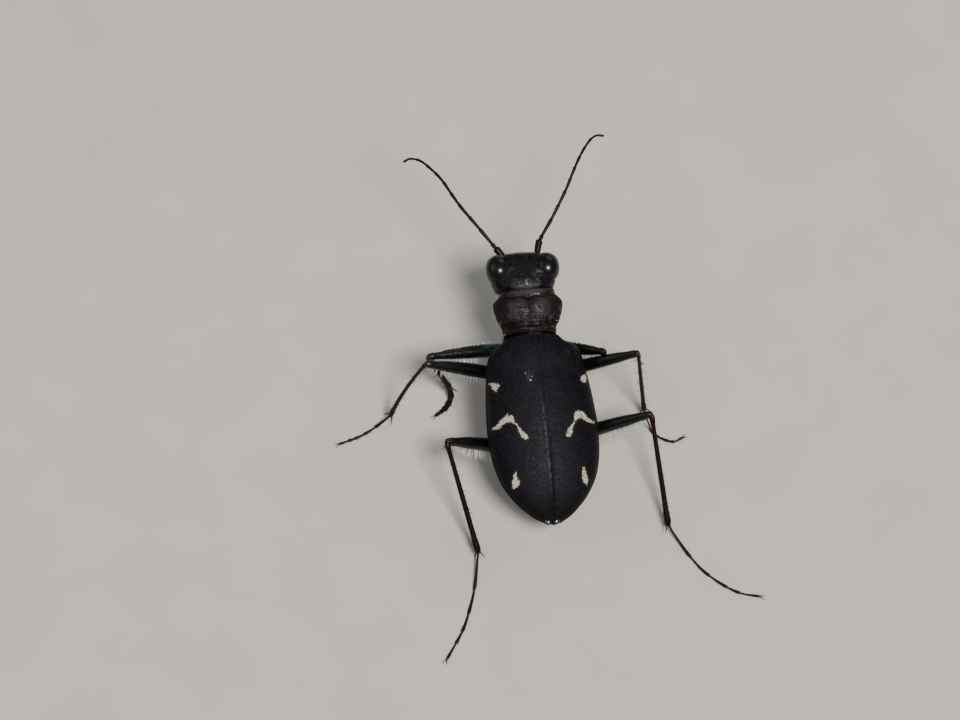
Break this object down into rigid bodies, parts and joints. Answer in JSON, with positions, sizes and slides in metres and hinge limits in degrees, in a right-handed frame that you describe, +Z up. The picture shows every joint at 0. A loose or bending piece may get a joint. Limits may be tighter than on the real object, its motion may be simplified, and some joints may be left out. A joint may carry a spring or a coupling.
{
  "type": "tiger beetle",
  "caption": "Still, life-size black tiger beetle with cream-marked wing covers, bulging eyes, sickle jaws and long legs, standing alert with its head raised",
  "frame": {"origin": "on the floor, under the middle of the bounding box", "axes": "-Y the way the head faces, +X the beetle's left side, +Z up from the floor that its feet stand on"},
  "size_m": [0.0192, 0.0229, 0.0071],
  "materials": {
    "cover_black": "matt, finely granular",
    "head_black": "satin, finely wrinkled",
    "pronotum_maroon": "satin, wrinkled",
    "eye_brown": "glossy, finely faceted",
    "ivory": "satin",
    "feeler_black": "satin",
    "belly_green": "metallic satin",
    "femur_green": "metallic satin",
    "shin_brown": "satin",
    "foot_black": "satin"
  },
  "bodies": {
    "root": {"head": "head_black", "eye_left": "eye_brown", "eye_right": "eye_brown", "labrum": "ivory", "mandible_left": "ivory", "mandible_right": "ivory", "maxillary_palp_left": "shin_brown", "maxillary_palp_right": "shin_brown", "labial_palp_left": "shin_brown", "labial_palp_right": "shin_brown", "antenna_left_scape": "feeler_black", "antenna_left_middle": "feeler_black", "antenna_left_tip": "feeler_black", "antenna_right_scape": "feeler_black", "antenna_right_middle": "feeler_black", "antenna_right_tip": "feeler_black", "pronotum": "pronotum_maroon", "scutellum": "cover_black", "elytron_left": "cover_black", "elytron_right": "cover_black", "thorax": "belly_green", "abdomen": "belly_green", "coxa_front_left": "belly_green", "femur_front_left": "femur_green", "tibia_front_left": "shin_brown", "tarsus_front_left": "foot_black", "coxa_front_right": "belly_green", "femur_front_right": "femur_green", "tibia_front_right": "shin_brown", "tarsus_front_right": "foot_black", "coxa_middle_left": "belly_green", "femur_middle_left": "femur_green", "tibia_middle_left": "shin_brown", "tarsus_middle_left": "foot_black", "coxa_middle_right": "belly_green", "femur_middle_right": "femur_green", "tibia_middle_right": "shin_brown", "tarsus_middle_right": "foot_black", "coxa_hind_left": "belly_green", "femur_hind_left": "femur_green", "tibia_hind_left": "shin_brown", "tarsus_hind_left": "foot_black", "coxa_hind_right": "belly_green", "femur_hind_right": "femur_green", "tibia_hind_right": "shin_brown", "tarsus_hind_right": "foot_black"}
  },
  "joints": []
}
